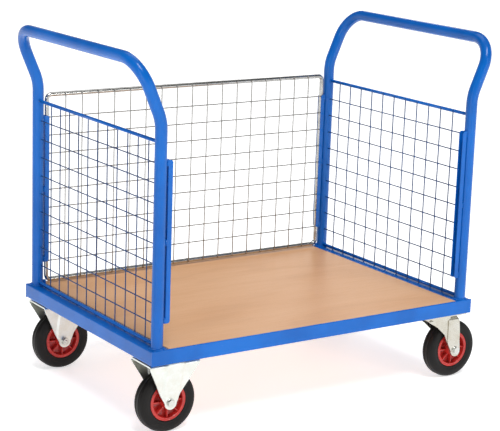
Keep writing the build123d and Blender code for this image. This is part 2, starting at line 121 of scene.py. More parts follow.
def newFinish(name, **constants):
    # A material with its object coordinates, and shader sockets that stay the same all over
    material = bpy.data.materials.new(name)
    material.use_nodes = True
    tree = material.node_tree
    shader = tree.nodes["Principled BSDF"]
    for socket, value in constants.items():
        shader.inputs[socket.replace("_", " ")].default_value = value
    coordinates = tree.nodes.new("ShaderNodeTexCoord")
    return material, Link(tree, coordinates.outputs["Object"]), shader


def feed(shader, **links):
    for socket, link in links.items():
        link.tree.links.new(link.socket, shader.inputs[socket.replace("_", " ")])


def noise(at, scale, detail=2.0, rough=0.5, distortion=0.0):
    return at.node("TexNoise", {}, {
        "Vector": at, "Scale": scale, "Detail": detail, "Roughness": rough, "Distortion": distortion
    })


def stretch(at, x, y, z):
    return at.node("Mapping", {}, {"Vector": at, "Scale": (x, y, z)})


def between(value, low, high):
    # 0 below low, 1 above high, and a soft step between them
    return value.node("MapRange", {"interpolation_type": "SMOOTHSTEP"}, {
        "Value": value, "From Min": low, "From Max": high
    })


def blendColour(factor, first, second):
    return factor.node("Mix", {"data_type": "RGBA"}, {0: factor, 6: first, 7: second}, 2)


def bumpFrom(height, strength, distance):
    return height.node("Bump", {}, {"Height": height, "Strength": strength, "Distance": distance})


# Finishes

powderCoat = {
    "deep": (0.0020, 0.105, 0.440, 1), "light": (0.0035, 0.145, 0.570, 1), "rub": (0.030, 0.190, 0.640, 1),
    # The two wire colours below are the same blue coat made darker and greyer: painted shade on the thin
    # end-mesh wires
    "wirePaintedShadeDeep": (0.010, 0.045, 0.150, 1), "wirePaintedShadeLight": (0.018, 0.070, 0.210, 1),
    "cloudSize": 5.0, "peelSize": 620.0, "grainSize": 2100.0, "peelDepth": 0.00009, "roughness": 0.20
}


def makePowderCoat(name, deep, light):
    size = powderCoat
    material, at, shader = newFinish(name, Coat_Roughness=0.05, Specular_IOR_Level=0.20)
    cloud = noise(at, size["cloudSize"], 4.0, 0.6)
    rubbed = between(noise(at, 46.0, 6.0, 0.7, 1.5), 0.66, 0.74)
    scratch = between(noise(stretch(at, 40.0, 40.0, 900.0), 1.0, 3.0, 0.6, 2.0), 0.74, 0.78)
    body = blendColour(between(cloud, 0.3, 0.7), deep, light)
    worn = blendColour(rubbed * 0.35 + scratch * 0.25, body, size["rub"])
    peel = noise(at, size["peelSize"], 2.0, 0.5) + noise(at, size["grainSize"], 1.0, 0.5) * 0.3
    rough = size["roughness"] + cloud * 0.06 + rubbed * 0.16 + scratch * 0.1
    feed(shader, Base_Color=worn, Roughness=rough, Coat_Weight=0.18 - rubbed * 0.15,
         Normal=bumpFrom(peel - rubbed * 0.15, 0.3, size["peelDepth"]))
    return material


def makeZincSheet(name, cool, warm, roughness, spangle):
    # Zinc plated sheet: soft mottling, faint rolling lines and a pale yellow to blue shift
    material, at, shader = newFinish(name, Metallic=0.92)
    cells = at.node("TexVoronoi", {"feature": "SMOOTH_F1"}, {
        "Vector": at, "Scale": spangle, "Smoothness": 0.6, "Randomness": 1.0
    })
    mottle = noise(at, 34.0, 5.0, 0.65)
    rolled = noise(stretch(at, 60.0, 60.0, 1400.0), 1.0, 2.0, 0.6)
    tone = between(mottle * 0.9 + cells * 0.2, 0.30, 0.80)
    stain = between(noise(at, 11.0, 6.0, 0.7, 0.8), 0.58, 0.8)
    colour = blendColour(tone, cool, warm)
    dull = blendColour(stain * 0.30, colour, (0.46, 0.44, 0.39, 1))
    rough = roughness + mottle * 0.12 + stain * 0.10 - cells * 0.03
    feed(shader, Base_Color=dull, Roughness=rough,
         Normal=bumpFrom(cells * 0.3 + rolled * 0.5 + noise(at, 900.0) * 0.2, 0.14, 0.00005))
    return material


brightZinc = {
    "light": (0.56, 0.56, 0.54, 1), "dark": (0.34, 0.33, 0.31, 1), "roughness": 0.14,
    "thinLight": (0.34, 0.33, 0.31, 1), "thinDark": (0.20, 0.19, 0.175, 1)
}


def makeBrightZinc(name, light, dark):
    # Drawn wire, plated: lengthwise die lines in all three directions and small dull spots
    size = brightZinc
    material, at, shader = newFinish(name, Metallic=1.0)
    blotch = noise(at, 55.0, 5.0, 0.6)
    spots = between(noise(at, 420.0, 3.0, 0.6), 0.62, 0.72)
    drawn = noise(stretch(at, 9.0, 1500.0, 1500.0), 1.0) + noise(stretch(at, 1500.0, 1500.0, 9.0), 1.0)
    colour = blendColour(between(blotch, 0.35, 0.7) * 0.6 + spots * 0.3, light, dark)
    feed(shader, Base_Color=colour, Roughness=size["roughness"] + blotch * 0.14 + spots * 0.2,
         Normal=bumpFrom(drawn + spots, 0.10, 0.00002))
    return material


bearingSteel = {"clean": (0.56, 0.55, 0.53, 1), "oiled": (0.16, 0.115, 0.075, 1)}


def makeBearingSteel():
    # Turned steel with a film of grease that gathers in patches
    size = bearingSteel
    material, at, shader = newFinish("bearingSteel", Metallic=1.0)
    film = between(noise(at, 85.0, 5.0, 0.65, 0.5), 0.38, 0.66)
    turned = noise(stretch(at, 30.0, 30.0, 2400.0), 1.0, 3.0, 0.5)
    colour = blendColour(film * 0.75, size["clean"], size["oiled"])
    feed(shader, Base_Color=colour, Roughness=0.24 + film * 0.18 + turned * 0.08,
         Normal=bumpFrom(turned, 0.2, 0.00004))
    return material


beech = {
    "pale": (0.800, 0.450, 0.235, 1), "mid": (0.735, 0.380, 0.175, 1), "dark": (0.560, 0.260, 0.110, 1),
    "fleck": (0.330, 0.150, 0.065, 1), "roughness": 0.42
}


def makeBeech():
    # Rotary cut beech face under a satin varnish: long wandering growth bands and short dark ray flecks
    size = beech
    material, at, shader = newFinish("beechPly", Coat_Roughness=0.28, Specular_IOR_Level=0.3)
    wander = noise(stretch(at, 0.9, 3.2, 3.2), 1.0, 3.0, 0.5)
    bands = noise(stretch(at, 1.3, 19.0, 19.0), 1.0, 5.0, 0.58, 0.6)
    growth = wander * 34.0 + bands * 3.0
    rings = growth.node("Math", {"operation": "SINE"}, {0: growth})
    fibre = noise(stretch(at, 14.0, 620.0, 620.0), 1.0, 4.0, 0.6)
    flecks = between(noise(stretch(at, 120.0, 1500.0, 1500.0), 1.0, 2.0, 0.5), 0.66, 0.74)
    pores = between(noise(stretch(at, 48.0, 2600.0, 2600.0), 1.0, 2.0, 0.6), 0.62, 0.7)
    tone = between(bands * 0.30 + rings * 0.04 + fibre * 0.55, 0.28, 0.62)
    face = blendColour(tone, size["pale"], size["mid"])
    banded = blendColour(between(rings, 0.55, 1.0) * 0.10, face, size["dark"])
    grained = blendColour(flecks * 0.55 + pores * 0.2, banded, size["fleck"])
    scuff = between(noise(stretch(at, 5.0, 22.0, 22.0), 1.0, 6.0, 0.75), 0.6, 0.78)
    feed(shader, Base_Color=blendColour(scuff * 0.16, grained, (0.80, 0.62, 0.44, 1)),
         Roughness=size["roughness"] + scuff * 0.16 + fibre * 0.06, Coat_Weight=0.12 - scuff * 0.08,
         Normal=bumpFrom(fibre * 0.5 - flecks * 0.4 - pores * 0.4, 0.22, 0.00012))
    return material


rubber = {
    "black": (0.0060, 0.0052, 0.0048, 1), "bloom": (0.014, 0.012, 0.011, 1), "dust": (0.09, 0.08, 0.07, 1)
}


def makeRubber():
    # Black solid rubber: a grey bloom in patches, dust in the tread and a fine moulded grain
    size = rubber
    material, at, shader = newFinish("blackRubber", Specular_IOR_Level=0.20)
    bloom = between(noise(at, 22.0, 5.0, 0.65, 0.6), 0.4, 0.75)
    dust = between(noise(at, 150.0, 6.0, 0.75), 0.6, 0.76)
    grain = noise(at, 1700.0, 3.0, 0.6)
    body = blendColour(bloom * 0.5, size["black"], size["bloom"])
    feed(shader, Base_Color=blendColour(dust * 0.12, body, size["dust"]),
         Roughness=0.40 + bloom * 0.14 + dust * 0.2, Normal=bumpFrom(grain + dust * 0.5, 0.3, 0.00012))
    return material


redPlastic = {"red": (0.520, 0.030, 0.024, 1), "deep": (0.330, 0.012, 0.011, 1), "roughness": 0.20}


def makeRedPlastic():
    # Moulded wheel centre: glossy skin, faint flow marks and light scuffs
    size = redPlastic
    material, at, shader = newFinish("redMouldedPlastic", Coat_Roughness=0.08, Specular_IOR_Level=0.36)
    flow = noise(at, 40.0, 3.0, 0.5, 1.2)
    scuff = between(noise(at, 210.0, 6.0, 0.75), 0.62, 0.76)
    body = blendColour(between(flow, 0.35, 0.7) * 0.5, size["red"], size["deep"])
    feed(shader, Base_Color=blendColour(scuff * 0.10, body, (0.72, 0.20, 0.18, 1)),
         Roughness=size["roughness"] + flow * 0.08 + scuff * 0.2, Coat_Weight=0.2 - scuff * 0.15,
         Normal=bumpFrom(flow + noise(at, 1300.0) * 0.25, 0.12, 0.00010))
    return material


def makeFloorFinish():
    material, at, shader = newFinish("paleFloor", Emission_Strength=0.62)
    shader.inputs["Emission Color"].default_value = (1.0, 1.0, 1.0, 1)
    cloud = noise(at, 0.8, 2.0)
    feed(shader, Base_Color=blendColour(cloud, (0.80, 0.80, 0.80, 1), (0.83, 0.83, 0.83, 1)),
         Roughness=0.62 + cloud * 0.05)
    return material


paint = makePowderCoat("bluePowderCoat", powderCoat["deep"], powderCoat["light"])
# The end-mesh wires' finish: the same blue coat in darker colours, painted shade
wireCoatPaintedShade = makePowderCoat("blueCoatedWirePaintedShade", powderCoat["wirePaintedShadeDeep"], powderCoat["wirePaintedShadeLight"])
# cool tone, warm tone, roughness, and how fine the spangle is
zincSheet = makeZincSheet("zincSheet", (0.74, 0.77, 0.74, 1), (0.68, 0.69, 0.62, 1), 0.28, 160.0)
zincFork = makeZincSheet("zincFork", (0.60, 0.59, 0.54, 1), (0.52, 0.49, 0.41, 1), 0.20, 210.0)
zincBolt = makeZincSheet("zincFastener", (0.62, 0.63, 0.62, 1), (0.56, 0.56, 0.49, 1), 0.16, 420.0)
wireZinc = makeBrightZinc("brightZincRod", brightZinc["light"], brightZinc["dark"])
thinZinc = makeBrightZinc("brightZincWire", brightZinc["thinLight"], brightZinc["thinDark"])
steel = makeBearingSteel()
wood = makeBeech()
tyreRubber = makeRubber()
wheelRed = makeRedPlastic()
print("finishes ready,", len(bpy.data.materials), "materials")

for node in nodes.values():  # the inner pieces, which nothing stands for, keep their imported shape
    for holder in node.material_slots:
        holder.material = steel


# Making pieces

def addPiece(bm, name, finish, host, replaced=(), sharp=38.0, outward=True):
    # Turns the mesh into a named piece that rides with its host node's body
    if outward:
        bmesh.ops.remove_doubles(bm, verts=bm.verts, dist=0.000004)
        bmesh.ops.recalc_face_normals(bm, faces=bm.faces)
    mesh = bpy.data.meshes.new(name)
    bm.to_mesh(mesh)
    bm.free()
    mesh.shade_smooth()
    mesh.set_sharp_from_angle(angle=radians(sharp))
    mesh.materials.append(finish)
    piece = bpy.data.objects.new(name, mesh)
    bpy.context.scene.collection.objects.link(piece)
    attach(piece, nodes[host]["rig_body"])
    if replaced:
        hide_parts(*replaced)
    return piece


def easedCopy(node, name, finish, width, segments=2, sharp=38.0):
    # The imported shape, with its faces merged and its sharp edges broken by a small bevel
    bm = bmesh.new()
    bm.from_mesh(nodes[node].data)
    bmesh.ops.remove_doubles(bm, verts=bm.verts, dist=0.00002)
    bmesh.ops.dissolve_limit(bm, angle_limit=radians(0.6), verts=bm.verts, edges=bm.edges)
    if width > 0:
        edges = [e for e in bm.edges if e.is_manifold and e.calc_face_angle(0) > radians(28)]
        bmesh.ops.bevel(bm, geom=edges, offset=width, segments=segments, profile=0.5, affect="EDGES",
                        material=-1, clamp_overlap=True)
    piece = addPiece(bm, name, finish, node, [node], sharp, outward=False)
    if width > 0:
        weighted = piece.modifiers.new("flatFaces", "WEIGHTED_NORMAL")
        weighted.keep_sharp = True
    return piece


def newest(made, kind):
    return [item for item in made if isinstance(item, kind)]


def pushEdges(bm, edges, move):
    made = bmesh.ops.extrude_edge_only(bm, edges=edges)["geom"]
    bmesh.ops.translate(bm, verts=newest(made, bmesh.types.BMVert), vec=move)
    return newest(made, bmesh.types.BMEdge)


def drawTube(bm, radius, corners, bends, sides, steps):
    # A round section pushed along straight runs and spun round each bend
    first = (corners[1] - corners[0]).normalized()
    place = Matrix.Translation(corners[0]) @ first.to_track_quat("Z", "Y").to_matrix().to_4x4()
    circle = bmesh.ops.create_circle(bm, cap_ends=False, segments=sides, radius=radius, matrix=place)
    edges = list({edge for vert in circle["verts"] for edge in vert.link_edges})
    at = corners[0]
    for before, corner, after, bend in zip(corners, corners[1:], corners[2:], bends):
        along = (corner - before).normalized()
        onward = (after - corner).normalized()
        turn = along.angle(onward)
        reach = bend * tan(turn / 2)
        axis = along.cross(onward).normalized()
        arcStart = corner - along * reach
        edges = pushEdges(bm, edges, arcStart - at)
        spun = bmesh.ops.spin(bm, geom=edges, cent=arcStart + axis.cross(along) * bend, axis=axis, angle=turn,
                              steps=steps, use_duplicate=False, use_merge=False)
        edges = newest(spun["geom_last"], bmesh.types.BMEdge)
        at = corner + onward * reach
    pushEdges(bm, edges, corners[-1] - at)


def turnTo(centre, axis):
    return Matrix.Translation(centre) @ Vector(axis).to_track_quat("Z", "Y").to_matrix().to_4x4()


def spinProfile(bm, profile, centre, axis, steps):
    # A closed outline of (radius, height) points turned all the way round the axis
    place = turnTo(centre, axis)
    verts = [bm.verts.new(place @ Vector((radius, 0, height))) for radius, height in profile]
    edges = [bm.edges.new(pair) for pair in zip(verts, verts[1:] + verts[:1])]
    bmesh.ops.spin(bm, geom=verts + edges, cent=centre, axis=axis, angle=2 * pi, steps=steps,
                   use_duplicate=False, use_merge=True)


def addBar(bm, centre, axis, radius, length, sides):
    bmesh.ops.create_cone(bm, cap_ends=True, segments=sides, radius1=radius, radius2=radius, depth=length,
                          matrix=turnTo(Vector(centre) + Vector(axis) * length / 2, axis))


def addHex(bm, seat, axis, radius, height, corner):
    # A hexagon with its outer corners cut back, as a turned chamfer leaves them
    made = bmesh.ops.create_circle(bm, cap_ends=True, segments=6, radius=radius, matrix=turnTo(seat, axis))
    face = made["verts"][0].link_faces[0]
    grown = bmesh.ops.extrude_face_region(bm, geom=[face], use_keep_orig=True)["geom"]
    top = newest(grown, bmesh.types.BMVert)
    bmesh.ops.translate(bm, verts=top, vec=Vector(axis) * height)
    bmesh.ops.bevel(bm, geom=top, offset=corner, segments=1, profile=0.5, affect="VERTICES", material=-1)


def makeBeadShape():
    # One ripple of a weld, a low polygon ball that every bead copies
    bm = bmesh.new()
    bmesh.ops.create_uvsphere(bm, u_segments=8, v_segments=5, radius=1.0)
    shape = bpy.data.meshes.new("weldBead")
    bm.to_mesh(shape)
    bm.free()
    return shape


beadShape = makeBeadShape()


def addBead(bm, centre, size, turn=None):
    place = Matrix.Translation(centre)
    if turn:
        place = place @ turn
    already = len(bm.verts)
    bm.from_mesh(beadShape)
    bm.verts.ensure_lookup_table()
    bmesh.ops.transform(bm, matrix=place @ Matrix.Diagonal((*size, 1)), verts=bm.verts[already:])


welding = {"ripple": 0.55, "uneven": 0.10}
hand = random.Random(11)


def weldLine(bm, start, end, width, height):
    # Ripples laid one over the next from start to end
    start, end = Vector(start), Vector(end)
    count = max(2, round((end - start).length / (width * welding["ripple"])))
    turn = (end - start).to_track_quat("X", "Z").to_matrix().to_4x4()
    for i in range(count + 1):
        swell = 1 + welding["uneven"] * (2 * hand.random() - 1)
        size = (width * 0.55, width * swell, height * swell)
        addBead(bm, start.lerp(end, i / count), size, turn)


def weldRing(bm, centre, axis, radius, width, height):
    place = turnTo(centre, axis)
    count = round(2 * pi * radius / (width * welding["ripple"]))
    for i in range(count):
        swell = 1 + welding["uneven"] * (2 * hand.random() - 1)
        spot = place @ Matrix.Rotation(2 * pi * i / count, 4, "Z") @ Matrix.Translation((radius, 0, 0))
        addBead(bm, spot.translation, (width * swell, width * 0.6, height * swell), spot.to_3x3().to_4x4())


# Chassis

chassis = {"edge": 0.0006, "sheetEdge": 0.0005, "deckEdge": 0.0011}

for side in ("left", "right"):
    easedCopy(f"end_beam_{side}", f"endBeam_{side}", paint, chassis["edge"])
    easedCopy(f"caster_support_{side}", f"casterSupport_{side}", paint, chassis["edge"])
    for end in ("front", "back"):
        easedCopy(f"guide_{side}_{end}", f"guide_{side}_{end}", paint, chassis["sheetEdge"])
for end in ("front", "back"):
    easedCopy(f"side_rail_{end}", f"sideRail_{end}", paint, chassis["edge"])
easedCopy("cross_member_center", "crossMember_center", paint, chassis["edge"])
easedCopy("deck_board", "deckBoard", wood, chassis["deckEdge"], 3)
easedCopy("panel_rests", "panelRests", paint, 0)
easedCopy("deck_screws", "deckScrews", zincBolt, 0.0003)
print("chassis and deck done")


# Places read from the frame

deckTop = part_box("end_beam_left")[1].z
beamX = {side: sum(corner.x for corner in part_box(f"end_beam_{side}")) / 2 for side in ("left", "right")}
way = {"left": -1, "right": 1}


# End hoops

hoop = {
    "radius": 0.015, "knee": 0.555, "kneeBend": 0.110, "cornerBend": 0.075, "sides": 40, "steps": 14,
    "baseWeld": 0.0030, "wireWeld": 0.0021, "guideGap": 0.0025, "rod": 0.0045, "wire": 0.0015,
    "columnPitch": 0.0507, "rowPitch": 0.0493, "lugMiddle": 0.0075, "stitchHalf": 0.0062
}


def wirePlaces(low, high, wire, pitch):
    # The middles of evenly spaced wires between the two outer faces of a mesh
    count = round((high - low - 2 * wire) / pitch) + 1
    return [low + wire + pitch * i for i in range(count)]


for side in ("left", "right"):
    low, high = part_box(f"hoop_{side}")
    postY = high.y - hoop["radius"]
    leanX = low.x + hoop["radius"] if side == "left" else high.x - hoop["radius"]
    barZ = high.z - hoop["radius"]
    knee = low.z + hoop["knee"]
    x = beamX[side]
    path = [Vector(p) for p in (
        (x, -postY, low.z), (x, -postY, knee), (leanX, -postY, barZ), (leanX, postY, barZ), (x, postY, knee),
        (x, postY, low.z)
    )]
    bends = (hoop["kneeBend"], hoop["cornerBend"], hoop["cornerBend"], hoop["kneeBend"])
    bm = bmesh.new()
    drawTube(bm, hoop["radius"], path, bends, hoop["sides"], hoop["steps"])
    bmesh.ops.holes_fill(bm, edges=bm.edges, sides=0)
    addPiece(bm, f"endHoop_{side}", paint, f"hoop_{side}", [f"hoop_{side}"])

    for part in ("rods", "columns", "rows"):
        label = f"endMesh{part.capitalize()}_{side}"
        # The wires take the darker copy of the coat, which is painted shade; the rods take the plain coat
        coat = paint if part == "rods" else wireCoatPaintedShade
        easedCopy(f"mesh_{part}_{side}", label, coat, 0, sharp=60.0)

    bm = bmesh.new()  # welds: posts to the beam, rods and wires to the posts, wires to each other
    inward = -way[side]
    rodsLow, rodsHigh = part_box(f"mesh_rods_{side}")
    rodLow = rodsLow.z + hoop["rod"]
    rodHigh = rodsHigh.z - hoop["rod"]
    columnLow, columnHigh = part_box(f"mesh_columns_{side}")
    rowLow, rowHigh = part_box(f"mesh_rows_{side}")
    columnX = (columnLow.x + columnHigh.x) / 2
    rowX = (rowLow.x + rowHigh.x) / 2
    columnYs = wirePlaces(columnLow.y, columnHigh.y, hoop["wire"], hoop["columnPitch"])
    rowZs = wirePlaces(rowLow.z, rowHigh.z, hoop["wire"], hoop["rowPitch"])
    for y in (-postY, postY):
        weldRing(bm, (x, y, deckTop + 0.0006), (0, 0, 1), hoop["radius"] + 0.0012, hoop["baseWeld"], 0.0028)
        toMiddle = -1 if y > 0 else 1
        for z in (rodLow, rodHigh):
            weldRing(bm, (x, y + toMiddle * (hoop["radius"] - 0.0002), z), (0, 1, 0), hoop["rod"] + 0.0006,
                     hoop["wireWeld"], 0.0016)
        for z in rowZs:
            addBead(bm, (rowX, y + toMiddle * (hoop["radius"] - 0.0012), z), (0.0022, 0.0026, 0.0023))
    for y in columnYs:
        addBead(bm, (columnX, y, deckTop + 0.0004), (0.0028, 0.0030, 0.0022))
        for z in (rodLow, rodHigh):
            addBead(bm, (columnX - inward * 0.0012, y, z), (0.0022, 0.0024, 0.0028))
        for z in rowZs:
            addBead(bm, ((columnX + rowX) / 2, y, z), (0.0012, 0.0021, 0.0021))
    for end, y in (("front", -postY), ("back", postY)):  # stitches down both edges of each guide
        guideLow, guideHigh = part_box(f"guide_{side}_{end}")
        seam = x + inward * (hoop["radius"] + hoop["guideGap"])
        half = (guideHigh.y - guideLow.y) / 2
        guideMiddle = (guideLow.z + guideHigh.z) / 2
        stitch = Vector((0, 0, hoop["stitchHalf"]))
        for z in (guideLow.z + hoop["lugMiddle"], guideMiddle, guideHigh.z - hoop["lugMiddle"]):
            for edge in (-1, 1):
                spot = Vector((seam - inward * 0.0018, y + edge * (half - 0.0016), z))
                weldLine(bm, spot - stitch, spot + stitch, 0.0024, 0.0026)
    addPiece(bm, f"hoopWelds_{side}", paint, f"hoop_{side}", sharp=70.0)
print("end hoops and their mesh done")

bm = bmesh.new()  # fillet welds under the deck, where the cross members meet the rails
for node in ("caster_support_left", "cross_member_center", "caster_support_right"):
    low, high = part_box(node)
    for y, toMiddle in ((low.y, 1), (high.y, -1)):
        for x in (low.x, high.x):
            seam = y + toMiddle * 0.0008
            weldLine(bm, (x, seam, low.z + 0.004), (x, seam, high.z - 0.004), 0.0026, 0.0024)
addPiece(bm, "crossMemberWelds", paint, "side_rail_front", sharp=70.0)


# Lift-out panel

panel = {
    "radius": 0.006, "corner": 0.013, "wire": 0.0015, "sides": 28, "steps": 8, "columnPitch": 0.0496,
    "rowPitch": 0.0493
}

low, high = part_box("panel_frame")
panelY = (low.y + high.y) / 2
inset = Vector((panel["radius"], 0, panel["radius"]))
inLow, inHigh = low + inset, high - inset
middle = (inLow.x + inHigh.x) / 2
path = [Vector((px, panelY, pz)) for px, pz in (
    (middle, inLow.z), (inHigh.x, inLow.z), (inHigh.x, inHigh.z), (inLow.x, inHigh.z), (inLow.x, inLow.z),
    (middle, inLow.z)
)]
bm = bmesh.new()
drawTube(bm, panel["radius"], path, (panel["corner"],) * 4, panel["sides"], panel["steps"])
addPiece(bm, "panelFrame", wireZinc, "panel_frame", ["panel_frame"])
easedCopy("panel_columns", "panelColumns", thinZinc, 0, sharp=60.0)
easedCopy("panel_rows", "panelRows", thinZinc, 0, sharp=60.0)

bm = bmesh.new()
columnLow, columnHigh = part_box("panel_columns")
rowLow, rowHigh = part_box("panel_rows")
columnY = (columnLow.y + columnHigh.y) / 2
rowY = (rowLow.y + rowHigh.y) / 2
rowZs = wirePlaces(rowLow.z, rowHigh.z, panel["wire"], panel["rowPitch"])
for x in wirePlaces(columnLow.x, columnHigh.x, panel["wire"], panel["columnPitch"]):
    for z in (inLow.z, inHigh.z):
        addBead(bm, (x, panelY - panel["radius"], z), (0.0026, 0.0014, 0.0030))
    for z in rowZs:
        addBead(bm, (x, (columnY + rowY) / 2, z), (0.0020, 0.0011, 0.0020))
for z in rowZs:
    for x, toMiddle in ((inLow.x, 1), (inHigh.x, -1)):
        addBead(bm, (x + toMiddle * (panel["radius"] - 0.0006), rowY, z), (0.0026, 0.0022, 0.0022))
weldRing(bm, (middle, panelY, inLow.z), (1, 0, 0), panel["radius"] - 0.0004, 0.0012, 0.0014)
addPiece(bm, "panelWelds", thinZinc, "panel_frame", sharp=70.0)
print("lift-out panel done")


# Casters

bracket = {"edge": 0.0008, "forkEdge": 0.0007}

for end in ("front", "back"):
    easedCopy(f"fixed_bracket_{end}", f"fixedBracket_{end}", zincSheet, bracket["edge"])
    easedCopy(f"swivel_plate_{end}", f"swivelPlate_{end}", zincFork, bracket["edge"])
    easedCopy(f"swivel_fork_{end}", f"swivelFork_{end}", zincFork, bracket["forkEdge"])
print("caster brackets done")


# Bolts

bolts = {
    "hex": 0.0092, "head": 0.0064, "shank": 0.0049, "corner": 0.0011, "washer": 0.0095, "washerThick": 0.0013,
    "apartX": 0.105, "apartY": 0.068, "spacer": 0.0045, "spacerRadius": 0.0095, "spacerHole": 0.0055
}
axle = {
    "hex": 0.0098, "head": 0.0065, "nut": 0.0080, "shank": 0.0050, "corner": 0.0012, "washer": 0.0112,
    "threadEnd": 0.002
}


def addWasher(bm, seat, axis, inner, outer, thick):
    ease = thick * 0.25
    spinProfile(bm, ((inner, 0), (outer, 0), (outer, thick - ease), (outer - ease, thick), (inner, thick)),
                Vector(seat), Vector(axis), 32)


def addThread(bm, start, axis, radius, length):
    # The bare end of a bolt: a few turned crests and a chamfered tip
    crest = 0.0003
    pitch = 0.0015
    count = max(1, int(length / pitch))
    profile = [(0.0, 0.0)]
    for i in range(count):
        profile += [(radius - crest, i * pitch), (radius, (i + 0.5) * pitch)]
    profile += [(radius - crest, length - 0.0008), (radius - 0.0014, length), (0.0, length)]
    place = turnTo(start, axis)
    verts = [bm.verts.new(place @ Vector((r, 0, h))) for r, h in profile]
    edges = [bm.edges.new(pair) for pair in zip(verts, verts[1:])]
    bmesh.ops.spin(bm, geom=verts + edges, cent=start, axis=axis, angle=2 * pi, steps=24,
                   use_duplicate=False, use_merge=True)


def middleOf(node):
    low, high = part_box(node)
    return (low + high) / 2


bm = bmesh.new()
lowest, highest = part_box("caster_bolts")
fixedSeat = lowest.z + bolts["head"]
swivelSeat = fixedSeat + bolts["spacer"]
for end in ("front", "back"):
    for node, seatZ in ((f"fixed_bracket_{end}", fixedSeat), (f"swivel_plate_{end}", swivelSeat)):
        centre = middleOf(node)
        for x in (centre.x - bolts["apartX"] / 2, centre.x + bolts["apartX"] / 2):
            for y in (centre.y - bolts["apartY"] / 2, centre.y + bolts["apartY"] / 2):
                washer = bolts["washerThick"]
                addWasher(bm, (x, y, seatZ), (0, 0, -1), bolts["shank"] - 0.0004, bolts["washer"], washer)
                headHeight = bolts["head"] - washer
                headFoot = Vector((x, y, seatZ - washer))
                addHex(bm, headFoot, (0, 0, -1), bolts["hex"], headHeight, bolts["corner"])
                addBar(bm, (x, y, seatZ), (0, 0, 1), bolts["shank"], highest.z - seatZ, 20)
                if seatZ == fixedSeat:  # the spacer that fills the step above the bracket's wing
                    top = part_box(f"fixed_bracket_{end}")[1].z
                    addWasher(bm, (x, y, top - bolts["spacer"]), (0, 0, 1), bolts["spacerHole"],
                              bolts["spacerRadius"], bolts["spacer"])
addPiece(bm, "casterBolts", zincBolt, "caster_bolts", ["caster_bolts"], sharp=30.0)


def axleFasteners(name, host, nodesStoodFor, places):
    # places: for each axle its centre, the way to its outer side, and how far out its legs' faces stand
    bm = bmesh.new()
    for centre, out, face in places:
        headSeat = centre + Vector((0, out * face, 0))
        nutSeat = centre - Vector((0, out * face, 0))
        washer = bolts["washerThick"]
        outward, inward = (0, out, 0), (0, -out, 0)
        addWasher(bm, headSeat, outward, axle["shank"] - 0.0004, axle["washer"], washer)
        headFoot = headSeat + Vector(outward) * washer
        addHex(bm, headFoot, outward, axle["hex"], axle["head"] - washer, axle["corner"])
        addWasher(bm, nutSeat, inward, axle["shank"] - 0.0004, axle["washer"], washer)
        nutFoot = nutSeat + Vector(inward) * washer
        addHex(bm, nutFoot, inward, axle["hex"], axle["nut"] - washer, axle["corner"])
        addBar(bm, headSeat, inward, axle["shank"], 2 * face, 24)
        nutFace = nutSeat + Vector(inward) * axle["nut"]
        addThread(bm, nutFace, Vector(inward), axle["shank"], axle["threadEnd"])
    addPiece(bm, name, zincBolt, host, nodesStoodFor, sharp=30.0)


legFace = {"fixed": 0.0300, "swivel": 0.0325}  # from a wheel's middle plane to the outer face of its leg
outerWay = {"front": -1, "back": 1}

axlePlaces = [(middleOf(f"fixed_tyre_{end}"), out, legFace["fixed"]) for end, out in outerWay.items()]
stoodFor = ["fixed_axle_bolts", "fixed_axle_nuts"]
axleFasteners("fixedAxleFasteners", stoodFor[0], stoodFor, axlePlaces)
for end, out in outerWay.items():
    stoodFor = [f"swivel_axle_bolt_{end}", f"swivel_axle_nut_{end}"]
    place = (middleOf(f"swivel_tyre_{end}"), out, legFace["swivel"])
    axleFasteners(f"swivelAxleFasteners_{end}", stoodFor[0], stoodFor, [place])
print("bolts, nuts and washers done")


# Wheels

wheel = {
    "radius": 0.0800, "halfWidth": 0.0200, "seatHalf": 0.0160, "rim": 0.0495, "rimInner": 0.0415,
    "rimHalf": 0.0180, "hub": 0.0170, "bore": 0.0110, "hubHalf": 0.0250, "web": 0.0030, "ribs": 8,
    "rib": 0.0030, "ribWidth": 0.029, "ribEdge": 0.0007
}


def makeTyre(node, name):
    size = wheel
    r, half = size["radius"], size["halfWidth"]
    right = [  # (radius, offset) from the seat round the bulged wall to the middle of the tread
        (0.0472, 0.0), (0.0472, size["seatHalf"] - 0.0004), (0.0488, size["seatHalf"]), (0.0500, 0.0170),
        (0.0512, 0.0184), (0.0530, 0.0190), (0.0550, 0.0187), (0.0564, 0.0190), (0.0585, 0.0197),
        (0.0620, half), (0.0660, 0.0199), (0.0695, 0.0194), (0.0725, 0.0186), (0.0750, 0.0173),
        (0.0770, 0.0153), (0.0783, 0.0126), (0.0789, 0.0098), (0.0790, 0.0082), (r - 0.0002, 0.0076),
        (r - 0.0002, 0.0069), (r - 0.0014, 0.0064), (r - 0.0018, 0.0060), (r - 0.0014, 0.0056),
        (r - 0.0002, 0.0051), (r - 0.0003, 0.0045), (r - 0.0006, 0.0030), (r - 0.0005, 0.0)
    ]
    profile = right + [(radius, -offset) for radius, offset in reversed(right[1:-1])]
    bm = bmesh.new()
    spinProfile(bm, profile, middleOf(node), Vector((0, 1, 0)), 112)
    addPiece(bm, name, tyreRubber, node, [node], sharp=55.0)


